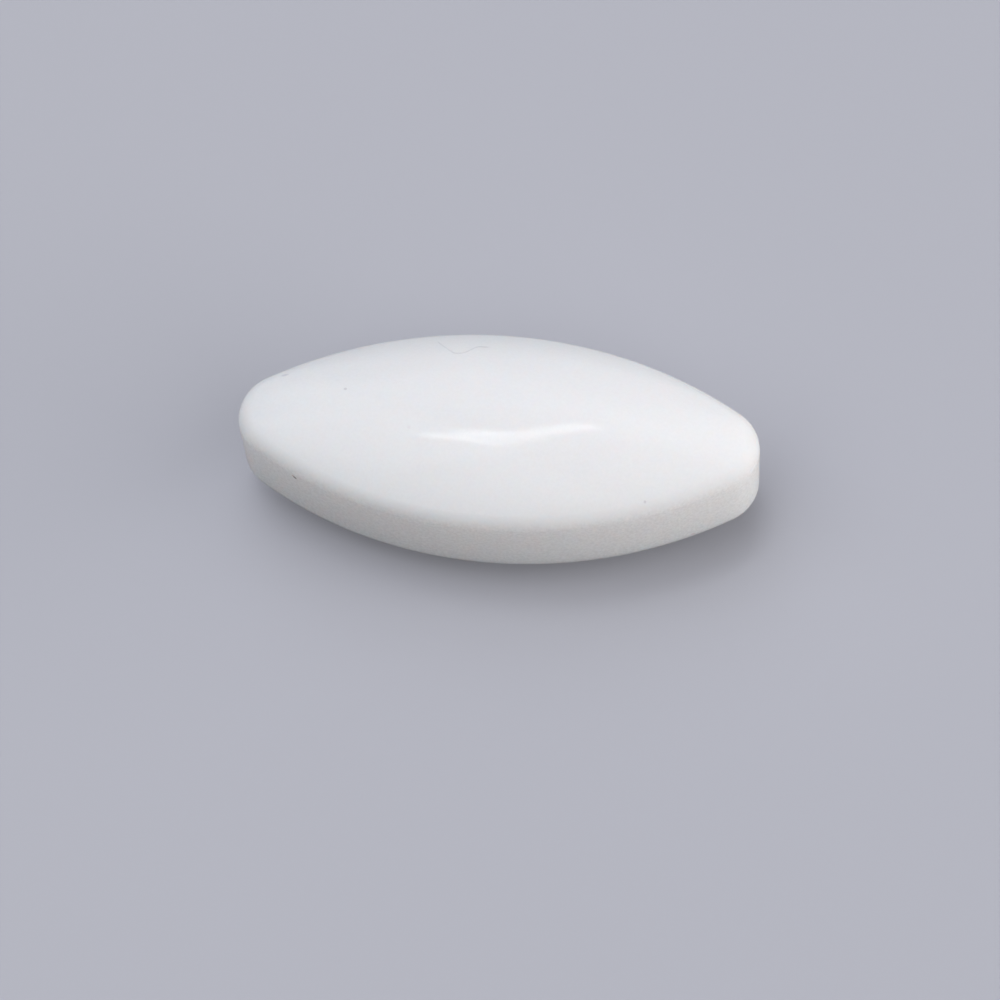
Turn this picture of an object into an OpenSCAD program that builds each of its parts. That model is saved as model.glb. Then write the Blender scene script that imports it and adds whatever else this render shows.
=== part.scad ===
// Magnetic stir bar: an almond-shaped fluoroplastic jacket moulded round a cylindrical bar magnet.
//
// The bar lies along X and rests on the dome of its underside. The origin is its lowest point, below
// the centre. The jacket is the same above and below its mid-plane, so either dome can be the top.

/* [Jacket outline] */
// Length over the two round noses
body_l = 20; // [16:0.5:30]
// Width across the middle
body_w = 8.6; // [7:0.1:12]
// Radius of each nose, seen from above
nose_r = 1.85; // [1.2:0.05:2.5]

/* [Jacket section] */
// Height of the upright band between the two rounded edges
band_h = 2.2; // [1:0.1:4]
// Radius of the rounded edge that blends each dome into the band
edge_r = 0.8; // [0.3:0.05:1.1]
// Rise of each dome above its rounded edge
dome_h = 1.1; // [0.8:0.05:2.5]
// Fullness of each dome: 2 is a parabola, and more is flatter on top and steeper at the edge
dome_fullness = 2.2; // [1.6:0.1:3]

/* [Magnet] */
// Diameter of the bar magnet
magnet_d = 4; // [2:0.1:4.2]
// Length of the bar magnet
magnet_l = 10; // [6:0.5:12]
// Chamfer round both ends of the magnet
magnet_chamfer = 0.3; // [0.1:0.05:0.8]
// Gap all round between the magnet and the cavity that the jacket closes over it
magnet_gap = 0.03; // [0.01:0.01:0.1]

/* [Smoothness] */
// Steps along each quarter turn of a nose
nose_steps = 9; // [6:1:12]
// Steps along half of each side
side_steps = 14; // [8:1:18]
// Steps from the top of a dome to its rounded edge
dome_steps = 14; // [8:1:18]
// Steps round the edge
edge_steps = 7; // [3:1:9]

/* [Hidden] */

$fn = 96;

// The outline, seen from above: two side arcs that run smoothly into two nose arcs. A nose arc's
// centre lies on the X axis and a side arc's on the Y axis, and they touch where both face nose_turn.
nose_x = body_l / 2 - nose_r;
side_r = (nose_x ^ 2 + body_w ^ 2 / 4 - nose_r ^ 2) / (body_w - 2 * nose_r);
side_y = body_w / 2 - side_r;
nose_turn = atan2(-side_y, nose_x);

// Outward directions of the outline's points in a quarter turn, and then all round
quarter_turn = concat(
    [for (i = [0 : nose_steps - 1]) nose_turn * i / nose_steps],
    [for (i = [0 : side_steps]) nose_turn + (90 - nose_turn) * i / side_steps]
);
quarter_steps = nose_steps + side_steps;
headings = [
    for (quarter = [0 : 3], i = [0 : quarter_steps - 1])
        90 * quarter + (quarter % 2 == 0 ? quarter_turn[i] : 90 - quarter_turn[quarter_steps - i])
];

// The jacket's skin lies edge_round outside an inner core, which has the inset outline and a dome.
// This rounds the edge and keeps it tangent to the band and to the dome all the way round. The dome's
// level lines start as a small oval at the top and grow into the almond of the outline.
edge_round = min(edge_r, 0.95 * nose_r);
core_half = [body_l / 2 - edge_round, body_w / 2 - edge_round];
jacket_h = band_h + 2 * (dome_h + edge_round);
mid_z = jacket_h / 2;

function unit(angle) = [cos(angle), sin(angle)];

// Point of the inner core's outline with the given outward direction
function core_point(angle) =
    let (
        half_turn = angle % 180,
        acute = min(half_turn, 180 - half_turn),
        nose = [nose_x, 0] + (nose_r - edge_round) * unit(acute),
        side = [0, side_y] + (side_r - edge_round) * unit(acute),
        point = acute < nose_turn ? nose : side
    )
    [cos(angle) < 0 ? -point.x : point.x, sin(angle) < 0 ? -point.y : point.y];

// Reach of the oval in a direction, and its point where it faces that way
function oval_reach(angle) = norm([core_half.x * cos(angle), core_half.y * sin(angle)]);
function oval_point(angle) =
    [core_half.x ^ 2 * cos(angle), core_half.y ^ 2 * sin(angle)] / oval_reach(angle);

// The dome's level line at a share of the way from its top, 0, to its edge, 1, and how fast the level
// lines spread there
function level_point(share, angle) = share * (share * core_point(angle) + (1 - share) * oval_point(angle));
function level_spread(share, angle) =
    2 * share * core_point(angle) * unit(angle) + (1 - 2 * share) * oval_reach(angle);

function dome_rise(share) = dome_h * (1 - share ^ dome_fullness);
function dome_tilt(share, angle) =
    atan(dome_h * dome_fullness * share ^ (dome_fullness - 1) / level_spread(share, angle));

// Point of the skin that lies outside a point of the core, where the skin has the given tilt
function skin_point(core, z, angle, tilt) =
    [core.x, core.y, z] + edge_round * [sin(tilt) * cos(angle), sin(tilt) * sin(angle), cos(tilt)];

function dome_ring(share) = [
    for (angle = headings)
        skin_point(level_point(share, angle), band_h / 2 + dome_rise(share), angle, dome_tilt(share, angle))
];

function edge_ring(share) = [
    for (angle = headings)
        let (start = dome_tilt(1, angle))
        skin_point(core_point(angle), band_h / 2, angle, start + (90 - start) * share)
];

function mirrored(ring) = [for (point = ring) [point.x, point.y, -point.z]];

// The jacket: its skin from the top of one dome to the top of the other, less the magnet's cavity
module ptfe_jacket() {
    upper_rings = concat(
        [for (i = [1 : dome_steps]) dome_ring(i / dome_steps)],
        [for (i = [1 : edge_steps]) edge_ring(i / edge_steps)]
    );
    lower_rings = [for (i = [len(upper_rings) - 1 : -1 : 0]) mirrored(upper_rings[i])];
    color("white")
        translate([0, 0, mid_z])
            difference() {
                closed_skin(concat(upper_rings, lower_rings), jacket_h / 2);
                magnet_form(magnet_gap);
            }
}

// A closed skin through rings of points, from a top point at top_z to a bottom point at -top_z
module closed_skin(rings, top_z) {
    count = len(rings[0]);
    top = len(rings) * count;
    bottom = top + 1;
    points = concat([for (ring = rings, point = ring) point], [[0, 0, top_z], [0, 0, -top_z]]);
    faces = concat(
        [for (i = [0 : count - 1]) [top, (i + 1) % count, i]],
        [
            for (r = [0 : len(rings) - 2], i = [0 : count - 1])
                let (here = r * count, below = here + count, next = (i + 1) % count)
                each [[here + i, here + next, below + next], [here + i, below + next, below + i]]
        ],
        [for (i = [0 : count - 1]) [bottom, top - count + i, top - count + (i + 1) % count]]
    );
    polyhedron(points, faces);
}

// The magnet's form along X about its centre, larger by a gap all round
module magnet_form(gap) {
    r = magnet_d / 2 + gap;
    half_l = magnet_l / 2 + gap;
    rotate([0, 90, 0])
        rotate_extrude()
            polygon([
                [0, -half_l],
                [r - magnet_chamfer, -half_l],
                [r, magnet_chamfer - half_l],
                [r, half_l - magnet_chamfer],
                [r - magnet_chamfer, half_l],
                [0, half_l],
            ]);
}

// The magnet, which fills the jacket's cavity
module bar_magnet() {
    color("dimgray")
        translate([0, 0, mid_z])
            magnet_form(0);
}

ptfe_jacket();
bar_magnet();
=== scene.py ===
"""Looks of the magnetic stir bar: a smooth white fluoroplastic jacket that is sealed round a magnet.

Lengths are in metres in the part's own frame: +X along the bar, +Z up, and z = 0 where it rests.
"""

import math

import bpy
import numpy as np
from mathutils import Matrix, Vector


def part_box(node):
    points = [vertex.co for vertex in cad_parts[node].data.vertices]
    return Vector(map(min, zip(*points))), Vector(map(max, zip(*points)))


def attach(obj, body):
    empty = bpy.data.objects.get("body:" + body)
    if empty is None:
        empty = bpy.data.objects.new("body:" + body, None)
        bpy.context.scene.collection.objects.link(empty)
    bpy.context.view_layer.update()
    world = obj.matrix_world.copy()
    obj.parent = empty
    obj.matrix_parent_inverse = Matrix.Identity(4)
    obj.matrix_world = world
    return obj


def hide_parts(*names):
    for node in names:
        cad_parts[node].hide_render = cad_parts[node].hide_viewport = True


MM = 0.001

# The jacket's radii and heights, which its box doesn't give
NOSE_RADIUS = 1.85 * MM
EDGE_RADIUS = 0.8 * MM
BAND_HEIGHT = 2.2 * MM
DOME_FULLNESS = 2.2

# How finely the jacket's skin is drawn
NOSE_STEPS = 24
SIDE_STEPS = 40
DOME_STEPS = 44
EDGE_STEPS = 16
BAND_STEPS = 6

# The jacket's plastic: its colour, how far light spreads in it, and how dull its dome and band are
PTFE_COLOUR = (0.89, 0.9, 0.905)
PTFE_IOR = 1.33
SCATTER_REACH = 2.7 * MM
SCATTER_SHARES = (1.0, 0.83, 0.75)
DOME_ROUGHNESS = 0.05
BAND_ROUGHNESS = 0.24

# The patterns in its colour: how large each is, how strong the clouds are, and the darkest and palest
# shade of the grain, on the dome and on the band
CLOUD_SIZE = 2.5 * MM
CLOUD_SHARE = 0.045
GRAIN_SIZE = 0.11 * MM
GRAIN_DARKEST = (0.985, 0.93)
GRAIN_PALEST = (1.01, 1.045)

# The bumps in its surface: how large and how high they are, and the share of the fine ones on the band
RIPPLE_SIZE = 0.7 * MM
RIPPLE_HEIGHT = 0.0045 * MM
FINE_SIZE = 0.15 * MM
FINE_HEIGHT = 0.003 * MM
FINE_ON_BAND = 0.6

# The patches of its gloss: how large they are and what they add to the roughness
PATCH_SIZE = 0.6 * MM
PATCH_ROUGHNESS = (-0.015, 0.01)

# Height of the band's middle, and how far above and below it the dull edge and the band's coarser
# grain start and are full
MIDDLE_HEIGHT = 3 * MM
DULL_HEIGHTS = (BAND_HEIGHT / 2 + EDGE_RADIUS, BAND_HEIGHT / 2 + 0.6 * MM)
GRAIN_HEIGHTS = (BAND_HEIGHT / 2 + 0.5 * MM, BAND_HEIGHT / 2 + 0.1 * MM)

# Flecks and stains on the jacket: where each lies and its half sizes in mm, how far its long side is
# turned about each axis in degrees, its strength and its colour
FLECKS = [
    # Dark fleck near the left end of the band, and its brown end
    ((-7.455, -2.535, 3.945), (0.08, 0.05, 0.065), (0, 31, -27), 0.75, (0.2, 0.17, 0.14)),
    ((-7.53, -2.497, 4.0), (0.055, 0.05, 0.06), (0, 31, -27), 0.5, (0.5, 0.27, 0.2)),
    # Grey flecks on the left of the dome and by the front edge
    ((-5.806, 0.573, 5.578), (0.075, 0.055, 0.05), (0, 0, -6), 0.42, (0.52, 0.5, 0.53)),
    ((5.954, -2.858, 4.737), (0.055, 0.05, 0.05), (0, 0, 30), 0.4, (0.52, 0.5, 0.54)),
    # Faint stain by the far left edge, and a faint mauve speck left of the top
    ((-8.361, 1.42, 4.862), (0.15, 0.07, 0.07), (0, 0, 13), 0.32, (0.45, 0.48, 0.6)),
    ((-3.124, -1.043, 5.809), (0.07, 0.06, 0.05), (0, 0, 0), 0.13, (0.62, 0.5, 0.6)),
    # Pink stain on the right of the band
    ((7.694, -2.407, 1.825), (0.11, 0.1, 0.09), (0, 0, 27), 0.28, (0.75, 0.5, 0.48)),
]
# Where a fleck starts and is full, as shares of its half sizes
FLECK_EDGE = (1.35, 0.55)
# The ragged edges of the flecks: how large their teeth are and how far they reach
RAGGED_SIZE = 0.09 * MM
RAGGED_REACH = 0.06 * MM

# The hair-thin scratch near the far edge of the dome: its course in mm, from left to right
SCRATCH = [(-2.72, 3.43), (-2.48, 3.15), (-2.25, 2.93), (-2.04, 2.74), (-1.86, 2.63), (-1.67, 2.65),
           (-1.50, 2.72), (-1.26, 2.95), (-1.01, 3.13), (-0.80, 3.13), (-0.57, 3.15)]
# How far from its course the scratch ends and is full, how deep it is, and its colour. It fades in and
# out along its course between two strengths.
SCRATCH_EDGE = (0.06 * MM, 0.01875 * MM)
SCRATCH_DEPTH = 0.004 * MM
SCRATCH_COLOUR = (0.5, 0.52, 0.55)
SCRATCH_STRENGTHS = (0.16, 0.36)
SCRATCH_FADING_SIZE = 0.5 * MM
# How long its left and right ends fade, and the height below which there is none
SCRATCH_ENDS = (0.1 * MM, 0.2 * MM)
SCRATCH_LOWEST = (4 * MM, 4.1 * MM)

# The magnet's alloy: its two greys, the pale grinding lines, and how dull it is
ALLOY_GREYS = ((0.23, 0.23, 0.24), (0.33, 0.32, 0.31))
ALLOY_LINE_COLOUR = (0.42, 0.41, 0.4)
ALLOY_LINE_WIDTH = 0.08 * MM
ALLOY_LINE_STRETCH = (0.08, 1, 1)
ALLOY_LINE_DEPTH = 0.004 * MM
ALLOY_PATCH_SIZE = 1.2 * MM
ALLOY_ROUGHNESS = (0.32, 0.55)

# The camera: where it stands as seen from the bar's centre, how far it is tipped, and how large it sees
CAMERA_AZIMUTH = 12.37
CAMERA_ELEVATION = 58.54
CAMERA_ROLL = -6.17
CAMERA_DISTANCE = 128.3 * MM
IMAGE_WIDTH = 1000
PIXELS_PER_MM = 26.065
# The point that it aims at, right of and below the bar's centre in the image
AIM_RIGHT = 0.044 * MM
AIM_BELOW = 1.972 * MM

# Lamps: name, side that they stand on, height above the floor, width, length, radiance, colour, and
# whether they show in the bar's gloss. Angles are in degrees and lengths in metres. Side 0 is in front,
# 90 on the right and 180 behind.
LAMPS = [
    ("behind_left", 225, 60, 1.2, 0.96, 0.63, (0.89, 0.91, 1.0), True),
    ("left_high", 300, 60, 1.2, 0.96, 0.72, (0.95, 0.95, 1.0), True),
    ("left", 300, 34, 1.2, 0.9, 0.30, (1.0, 0.97, 0.87), True),
    ("behind", 180, 34, 1.2, 0.9, 0.40, (0.93, 0.95, 1.0), True),
    ("right", 65, 34, 1.2, 0.9, 0.89, (0.98, 0.97, 1.0), False),
    ("right_low", 90, 9, 0.9, 0.27, 4.44, (1.0, 0.94, 0.88), False),
]
LAMP_DISTANCE = 0.9

# The strip lamp whose gloss lies along the top of the dome. Its straight parts join end to end: where
# each starts and ends from the bar's centre, and its width, in metres.
STRIP = [
    ((-0.248, 0.119, 0.857), (-0.205, 0.131, 0.866), 0.045),
    ((-0.205, 0.131, 0.866), (-0.167, 0.131, 0.874), 0.055),
    ((-0.167, 0.131, 0.874), (-0.147, 0.144, 0.873), 0.11),
    ((-0.147, 0.144, 0.873), (-0.08, 0.168, 0.876), 0.185),
    ((-0.08, 0.168, 0.876), (-0.052, 0.205, 0.871), 0.13),
    ((-0.052, 0.208, 0.871), (0.067, 0.357, 0.817), 0.075),
]
STRIP_RADIANCE = 3.6

# The floor and the backdrop beyond it as the camera sees them, and the share of light that the floor
# throws back on the bar
FLOOR_REACH = 3.0
FLOOR_COLOUR = (0.52, 0.53, 0.58)
FLOOR_BOUNCE = (0.25, 0.25, 0.26)


def outline(half_length, half_width):
    """Points and outward directions all round the jacket's outline, seen from above.

    Two side arcs run smoothly into two nose arcs, and they touch where both face turn.
    """
    nose_x = half_length - NOSE_RADIUS
    side_radius = (nose_x**2 + half_width**2 - NOSE_RADIUS**2) / (2 * (half_width - NOSE_RADIUS))
    side_y = half_width - side_radius
    turn = math.atan2(-side_y, nose_x)
    nose = np.linspace(0, turn, NOSE_STEPS, endpoint=False)
    side = np.linspace(turn, math.pi / 2, SIDE_STEPS + 1)
    angles = np.concatenate([nose, side])
    facing = np.column_stack([np.cos(angles), np.sin(angles)])
    on_nose = (nose_x, 0) + NOSE_RADIUS * facing
    on_side = (0, side_y) + side_radius * facing
    points = np.where((angles < turn)[:, None], on_nose, on_side)
    return all_round(points), all_round(facing)


def all_round(quarter):
    """A quarter's vectors, from +X to +Y, mirrored into the three others without repeats."""
    back = quarter[::-1] * (-1, 1)
    half = np.concatenate([quarter, back[1:]])
    return np.concatenate([half, -half[1:-1]])


def skin_rings(half_length, half_width, half_height):
    """Rings of points and outward normals from the top of the upper dome to the middle of the band.

    The skin lies EDGE_RADIUS outside a core, whose level lines grow from an oval to the outline.
    """
    points, facing = outline(half_length, half_width)
    edge = points - EDGE_RADIUS * facing
    core_half = np.array([half_length, half_width]) - EDGE_RADIUS
    oval_reach = np.linalg.norm(core_half * facing, axis=1)
    oval = core_half**2 * facing / oval_reach[:, None]
    edge_reach = (edge * facing).sum(1)
    dome_height = half_height - BAND_HEIGHT / 2 - EDGE_RADIUS

    def ring(core, z, tilt):
        normals = np.column_stack([np.sin(tilt)[:, None] * facing, np.cos(tilt)])
        return np.column_stack([core, np.full(len(core), z)]) + EDGE_RADIUS * normals, normals

    rings = []
    for share in np.linspace(0, 1, DOME_STEPS + 1)[1:]:
        level = share * (share * edge + (1 - share) * oval)
        spread = 2 * share * edge_reach + (1 - 2 * share) * oval_reach
        tilt = np.arctan(dome_height * DOME_FULLNESS * share ** (DOME_FULLNESS - 1) / spread)
        rings.append(ring(level, BAND_HEIGHT / 2 + dome_height * (1 - share**DOME_FULLNESS), tilt))
    for share in np.linspace(0, 1, EDGE_STEPS + 1)[1:]:
        rings.append(ring(edge, BAND_HEIGHT / 2, tilt + (math.pi / 2 - tilt) * share))
    for share in np.linspace(0, 1, BAND_STEPS + 1)[1:]:
        rings.append(ring(edge, BAND_HEIGHT / 2 * (1 - share), np.full(len(edge), math.pi / 2)))
    return rings


def jacket_skin(name, low, high):
    """The jacket's closed skin, which fills the box from low to high."""
    half = (np.array(high) - np.array(low)) / 2
    upper = skin_rings(*half)
    flip = (1, 1, -1)
    lower = [(points * flip, normals * flip) for points, normals in upper[-2::-1]]
    rings = upper + lower
    count = len(rings[0][0])
    points = np.vstack([ring[0] for ring in rings] + [[(0, 0, half[2]), (0, 0, -half[2])]])
    normals = np.vstack([ring[1] for ring in rings] + [[(0, 0, 1), (0, 0, -1)]])
    points += (np.array(high) + np.array(low)) / 2
    top, bottom = len(points) - 2, len(points) - 1
    faces = []
    for i in range(count):
        after = (i + 1) % count
        faces.append((top, i, after))
        for r in range(len(rings) - 1):
            here, below = r * count, (r + 1) * count
            faces.append((here + i, below + i, below + after, here + after))
        last = (len(rings) - 1) * count
        faces.append((bottom, last + after, last + i))
    mesh = bpy.data.meshes.new(name)
    mesh.from_pydata([tuple(point) for point in points], [], faces)
    mesh.polygons.foreach_set("use_smooth", [True] * len(mesh.polygons))
    mesh.normals_split_custom_set_from_vertices([tuple(normal) for normal in normals])
    piece = bpy.data.objects.new(name, mesh)
    bpy.context.scene.collection.objects.link(piece)
    return piece


class Nodes:
    """A material's node tree, with a short call for each kind of node that the materials use."""

    def __init__(self, name):
        self.material = bpy.data.materials.new(name)
        self.material.use_nodes = True
        self.tree = self.material.node_tree
        self.shader = self.tree.nodes["Principled BSDF"]
        self.place = self.add("ShaderNodeTexCoord").outputs["Object"]

    def add(self, kind, **settings):
        node = self.tree.nodes.new(kind)
        for setting, value in settings.items():
            setattr(node, setting, value)
        return node

    def feed(self, value, socket):
        """Links an output to a socket, or sets the socket to a plain value."""
        if isinstance(value, bpy.types.NodeSocket):
            self.tree.links.new(value, socket)
        else:
            socket.default_value = value

    def set(self, **values):
        """Sets or links the Principled shader's inputs, named with _ for a space."""
        for name, value in values.items():
            self.feed(value, self.shader.inputs[name.replace("_", " ")])

    def math(self, operation, first, second=0.0):
        node = self.add("ShaderNodeMath", operation=operation)
        for value, socket in zip((first, second), node.inputs):
            self.feed(value, socket)
        return node.outputs[0]

    def vector_math(self, operation, first, second=(0, 0, 0)):
        node = self.add("ShaderNodeVectorMath", operation=operation)
        self.feed(first, node.inputs[0])
        self.feed(second, node.inputs[1])
        return node.outputs["Value" if operation == "LENGTH" else "Vector"]

    def ramp(self, value, low, high, to_low=0.0, to_high=1.0, smooth=False):
        """The value, moved from the range low to high into the range to_low to to_high."""
        node = self.add("ShaderNodeMapRange")
        node.interpolation_type = "SMOOTHSTEP" if smooth else "LINEAR"
        for item, socket in zip((value, low, high, to_low, to_high), node.inputs):
            self.feed(item, socket)
        return node.outputs[0]

    def noise(self, size, detail=2.0, stretch=(1, 1, 1), colour=False):
        """Noise whose features are about size metres across."""
        mapping = self.add("ShaderNodeMapping")
        mapping.inputs["Scale"].default_value = stretch
        self.feed(self.place, mapping.inputs["Vector"])
        node = self.add("ShaderNodeTexNoise")
        self.feed(mapping.outputs[0], node.inputs["Vector"])
        node.inputs["Scale"].default_value = 1 / size
        node.inputs["Detail"].default_value = detail
        return node.outputs["Color" if colour else "Fac"]

    def mix(self, share, first, second, blend="MIX"):
        """First colour where share is 0 and second where it is 1."""
        node = self.add("ShaderNodeMix", data_type="RGBA", blend_type=blend)
        self.feed(share, node.inputs["Factor"])
        for value, socket in ((first, node.inputs[6]), (second, node.inputs[7])):
            self.feed(value if isinstance(value, bpy.types.NodeSocket) else (*value, 1), socket)
        return node.outputs[2]

    def bump(self, height, distance, normal=None):
        """Bumps that are distance metres high where height goes from 0 to 1."""
        node = self.add("ShaderNodeBump")
        node.inputs["Strength"].default_value = 1.0
        node.inputs["Distance"].default_value = distance
        self.feed(height, node.inputs["Height"])
        if normal is not None:
            self.feed(normal, node.inputs["Normal"])
        return node.outputs["Normal"]


def split_place(nodes):
    """Outputs with x, y and z of the place on the surface."""
    split = nodes.add("ShaderNodeSeparateXYZ")
    nodes.feed(nodes.place, split.inputs[0])
    return split.outputs


def ragged_place(nodes):
    """The place on the surface, moved a little to and fro so that what is drawn there looks ragged."""
    wobble = nodes.vector_math("SUBTRACT", nodes.noise(RAGGED_SIZE, colour=True), (0.5, 0.5, 0.5))
    scaled = nodes.add("ShaderNodeVectorMath", operation="SCALE")
    nodes.feed(wobble, scaled.inputs[0])
    scaled.inputs["Scale"].default_value = RAGGED_REACH
    return nodes.vector_math("ADD", nodes.place, scaled.outputs[0])


def fleck(nodes, place, half_size, turn, ragged):
    """Share from 0 to 1 of a small ragged spot on the surface."""
    mapping = nodes.add("ShaderNodeMapping", vector_type="TEXTURE")
    mapping.inputs["Location"].default_value = [MM * value for value in place]
    mapping.inputs["Rotation"].default_value = [math.radians(value) for value in turn]
    mapping.inputs["Scale"].default_value = [MM * value for value in half_size]
    nodes.feed(ragged, mapping.inputs["Vector"])
    return nodes.ramp(nodes.vector_math("LENGTH", mapping.outputs[0]), *FLECK_EDGE, smooth=True)


def scratch(nodes):
    """Share from 0 to 1 of the hair-thin scratch, which runs on the upper dome as a curve over x."""
    low = [min(point[axis] for point in SCRATCH) * MM for axis in (0, 1)]
    high = [max(point[axis] for point in SCRATCH) * MM for axis in (0, 1)]
    x, y, z = split_place(nodes)
    curve = nodes.add("ShaderNodeFloatCurve")
    nodes.feed(nodes.ramp(x, low[0], high[0]), curve.inputs["Value"])
    course = curve.mapping.curves[0]
    shares = [
        [(value * MM - low[axis]) / (high[axis] - low[axis]) for axis, value in enumerate(point)]
        for point in SCRATCH
    ]
    course.points[0].location = shares[0]
    course.points[1].location = shares[-1]
    for share in shares[1:-1]:
        course.points.new(*share)
    curve.mapping.update()
    line = nodes.ramp(curve.outputs[0], 0, 1, low[1], high[1])
    away = nodes.math("ABSOLUTE", nodes.math("SUBTRACT", y, line))
    groove = nodes.ramp(away, *SCRATCH_EDGE, smooth=True)
    left_end = nodes.ramp(x, low[0], low[0] + SCRATCH_ENDS[0])
    right_end = nodes.ramp(x, high[0], high[0] - SCRATCH_ENDS[1])
    on_dome = nodes.ramp(z, *SCRATCH_LOWEST)
    for limit in (left_end, right_end, on_dome):
        groove = nodes.math("MULTIPLY", groove, limit)
    return groove


def band_share(nodes, none, full):
    """Share that grows from 0 at one height above and below the middle of the band to 1 at another."""
    height = split_place(nodes)["Z"]
    away = nodes.math("ABSOLUTE", nodes.math("SUBTRACT", height, MIDDLE_HEIGHT))
    return nodes.ramp(away, none, full, smooth=True)


def ptfe_colour(nodes, band, groove):
    """Faintly cloudy and grainy white, with the flecks, the stains and the scratch."""
    cloud = nodes.noise(CLOUD_SIZE, detail=3.0, colour=True)
    colour = nodes.mix(CLOUD_SHARE, PTFE_COLOUR, cloud, blend="SOFT_LIGHT")
    darkest = nodes.ramp(band, 0, 1, *GRAIN_DARKEST)
    palest = nodes.ramp(band, 0, 1, *GRAIN_PALEST)
    grain = nodes.ramp(nodes.noise(GRAIN_SIZE), 0.3, 0.7, darkest, palest)
    shade = nodes.add("ShaderNodeCombineColor")
    for socket in shade.inputs:
        nodes.feed(grain, socket)
    colour = nodes.mix(1.0, colour, shade.outputs[0], blend="MULTIPLY")
    ragged = ragged_place(nodes)
    for place, half_size, turn, strength, tint in FLECKS:
        share = nodes.math("MULTIPLY", fleck(nodes, place, half_size, turn, ragged), strength)
        colour = nodes.mix(share, colour, tint)
    strength = nodes.ramp(nodes.noise(SCRATCH_FADING_SIZE), 0.35, 0.65, *SCRATCH_STRENGTHS)
    return nodes.mix(nodes.math("MULTIPLY", groove, strength), colour, SCRATCH_COLOUR)


def ptfe_bumps(nodes, band, groove):
    """Low ripples, fine bumps that are lower on the band, and the scratch's groove."""
    normal = nodes.bump(nodes.noise(RIPPLE_SIZE, detail=1.0), RIPPLE_HEIGHT)
    share = nodes.ramp(band, 0, 1, 1, FINE_ON_BAND)
    fine = nodes.math("MULTIPLY", nodes.noise(FINE_SIZE, detail=1.0), share)
    normal = nodes.bump(fine, FINE_HEIGHT, normal)
    return nodes.bump(nodes.math("MULTIPLY", groove, -1.0), SCRATCH_DEPTH, normal)


def ptfe_roughness(nodes):
    """Glossy domes, and a duller band with duller rounded edges, in faint patches."""
    dull = nodes.ramp(band_share(nodes, *DULL_HEIGHTS), 0, 1, DOME_ROUGHNESS, BAND_ROUGHNESS)
    patches = nodes.ramp(nodes.noise(PATCH_SIZE, detail=3.0), 0.3, 0.7, *PATCH_ROUGHNESS)
    return nodes.math("ADD", dull, patches)


def ptfe_material():
    """Moulded white fluoroplastic: waxy, translucent and faintly marked."""
    nodes = Nodes("moulded_ptfe")
    band = band_share(nodes, *GRAIN_HEIGHTS)
    groove = scratch(nodes)
    nodes.set(
        Base_Color=ptfe_colour(nodes, band, groove),
        Roughness=ptfe_roughness(nodes),
        IOR=PTFE_IOR,
        Subsurface_Weight=1.0,
        Subsurface_Radius=SCATTER_SHARES,
        Subsurface_Scale=SCATTER_REACH,
        Normal=ptfe_bumps(nodes, band, groove),
    )
    return nodes.material


def magnet_material():
    """Ground magnet alloy: a dark grey metal with fine grinding lines along the bar and dull patches."""
    nodes = Nodes("magnet_alloy")
    lines = nodes.noise(ALLOY_LINE_WIDTH, detail=3.0, stretch=ALLOY_LINE_STRETCH)
    patches = nodes.noise(ALLOY_PATCH_SIZE, detail=3.0)
    colour = nodes.mix(nodes.ramp(patches, 0.35, 0.65), *ALLOY_GREYS)
    colour = nodes.mix(nodes.ramp(lines, 0.5, 0.75, 0.0, 0.5), colour, ALLOY_LINE_COLOUR)
    nodes.set(
        Base_Color=colour,
        Metallic=1.0,
        Roughness=nodes.ramp(nodes.math("ADD", lines, patches), 0.7, 1.3, *ALLOY_ROUGHNESS),
        Normal=nodes.bump(lines, ALLOY_LINE_DEPTH),
    )
    return nodes.material


def seen_share(tree):
    """Output that is 1 for what the camera sees, straight on or in gloss, and 0 for light on the bar."""
    path = tree.nodes.new("ShaderNodeLightPath").outputs
    share = path["Is Camera Ray"]
    for kind in ("Is Glossy Ray", "Is Transmission Ray"):
        either = tree.nodes.new("ShaderNodeMath")
        either.operation = "MAXIMUM"
        tree.links.new(share, either.inputs[0])
        tree.links.new(path[kind], either.inputs[1])
        share = either.outputs[0]
    return share


def floor_material():
    """Pale matt floor. What it throws back on the bar is less than what the camera sees."""
    nodes = Nodes("studio_floor")
    nodes.set(
        Base_Color=nodes.mix(seen_share(nodes.tree), FLOOR_BOUNCE, FLOOR_COLOUR),
        Roughness=0.9,
        Specular_IOR_Level=0.0,
    )
    return nodes.material


def add_floor():
    reach = FLOOR_REACH
    corners = [(-reach, -reach, 0), (reach, -reach, 0), (reach, reach, 0), (-reach, reach, 0)]
    mesh = bpy.data.meshes.new("floor")
    mesh.from_pydata(corners, [], [(0, 1, 2, 3)])
    floor = bpy.data.objects.new("floor", mesh)
    bpy.context.scene.collection.objects.link(floor)
    mesh.materials.append(floor_material())
    return floor


def direction(side, height):
    """Unit vector from the bar to what stands on a side, 0 in front and 90 on the right."""
    side, height = math.radians(side), math.radians(height)
    level = math.cos(height)
    return Vector((math.sin(side) * level, -math.cos(side) * level, math.sin(height)))


def hang_lamp(name, place, turned, width, length, radiance, colour, in_gloss=True):
    """An area lamp that shines along its own -Z, with the same radiance all over."""
    lamp = bpy.data.lights.new(name, "AREA")
    lamp.shape = "RECTANGLE"
    lamp.size = width
    lamp.size_y = length
    lamp.color = colour
    lamp.energy = 4 * width * length * radiance
    piece = bpy.data.objects.new(name, lamp)
    piece.matrix_world = Matrix.Translation(place) @ turned.to_matrix().to_4x4()
    piece.visible_camera = False
    piece.visible_glossy = in_gloss
    bpy.context.scene.collection.objects.link(piece)


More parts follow.
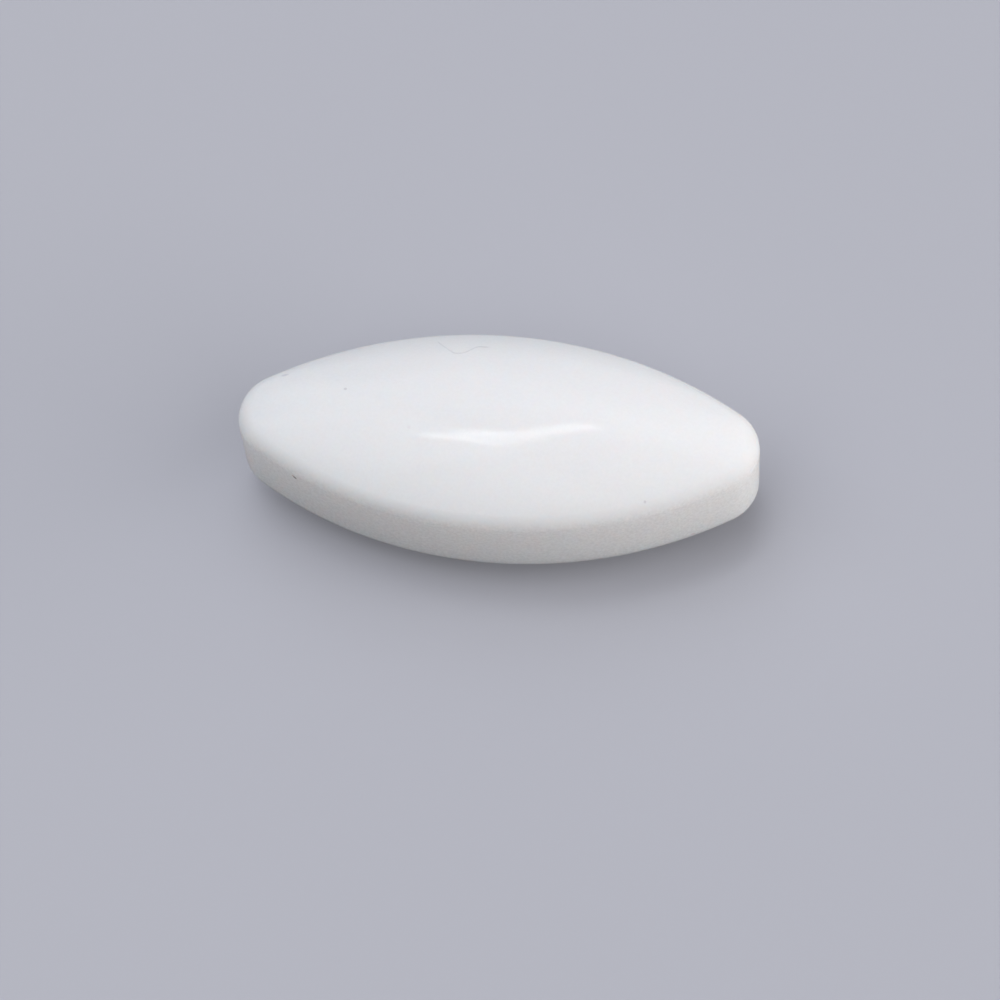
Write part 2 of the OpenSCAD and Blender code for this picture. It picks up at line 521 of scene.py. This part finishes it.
def add_lamp(centre, name, side, height, *lamp):
    """Hangs a lamp, with hang_lamp's values from its width on, so that it faces the bar."""
    towards = direction(side, height)
    hang_lamp(name, centre + LAMP_DISTANCE * towards, towards.to_track_quat("Z", "Y"), *lamp)


def add_strip(centre):
    """Hangs the strip's parts, each facing the bar with its length along the strip."""
    for i, (start, end, width) in enumerate(STRIP):
        start = centre + Vector(start)
        end = centre + Vector(end)
        middle = (start + end) / 2
        back = (middle - centre).normalized()
        along = (end - start).normalized()
        across = back.cross(along).normalized()
        turned = Matrix((along, across, along.cross(across))).transposed().to_quaternion()
        hang_lamp(f"strip_{i}", middle, turned, (end - start).length, width, STRIP_RADIANCE, (1, 1, 1))


def add_world():
    """A backdrop that is seen beyond the floor and gives no light."""
    world = bpy.data.worlds.new("studio")
    world.use_nodes = True
    tree = world.node_tree
    backdrop = tree.nodes["Background"]
    backdrop.inputs["Color"].default_value = (*FLOOR_COLOUR, 1)
    tree.links.new(seen_share(tree), backdrop.inputs["Strength"])
    bpy.context.scene.world = world


def add_camera(centre):
    data = bpy.data.cameras.new("camera")
    data.sensor_width = 36
    data.lens = data.sensor_width * PIXELS_PER_MM / IMAGE_WIDTH * (CAMERA_DISTANCE / MM)
    data.clip_start = 1 * MM
    back = direction(CAMERA_AZIMUTH, CAMERA_ELEVATION)
    level_right = Vector((0, 0, 1)).cross(back).normalized()
    roll = Matrix.Rotation(math.radians(CAMERA_ROLL), 3, back)
    right = roll @ level_right
    up = back.cross(right)
    place = centre + CAMERA_DISTANCE * back
    aim = centre + AIM_RIGHT * right - AIM_BELOW * up
    away = (place - aim).normalized()
    across = up.cross(away).normalized()
    turned = Matrix((across, away.cross(across), away)).transposed()
    camera = bpy.data.objects.new("camera", data)
    camera.matrix_world = Matrix.Translation(place) @ turned.to_4x4()
    bpy.context.scene.collection.objects.link(camera)
    bpy.context.scene.camera = camera


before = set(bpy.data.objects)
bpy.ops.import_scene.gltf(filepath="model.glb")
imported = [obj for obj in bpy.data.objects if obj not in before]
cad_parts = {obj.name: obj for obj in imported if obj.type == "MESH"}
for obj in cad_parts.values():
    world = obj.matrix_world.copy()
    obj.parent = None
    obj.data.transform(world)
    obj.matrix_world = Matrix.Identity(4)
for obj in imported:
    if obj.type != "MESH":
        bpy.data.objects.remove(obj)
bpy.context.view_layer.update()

low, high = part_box("ptfe_jacket")
centre = (low + high) / 2

jacket = jacket_skin("jacket_skin", low, high)
jacket.data.materials.append(ptfe_material())
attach(jacket, "root")
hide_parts("ptfe_jacket")

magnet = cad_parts["bar_magnet"]
magnet.data.materials.clear()
magnet.data.materials.append(magnet_material())

add_floor()
for lamp in LAMPS:
    add_lamp(centre, *lamp)
add_strip(centre)
add_world()
add_camera(centre)
bpy.context.scene.view_settings.view_transform = "Standard"
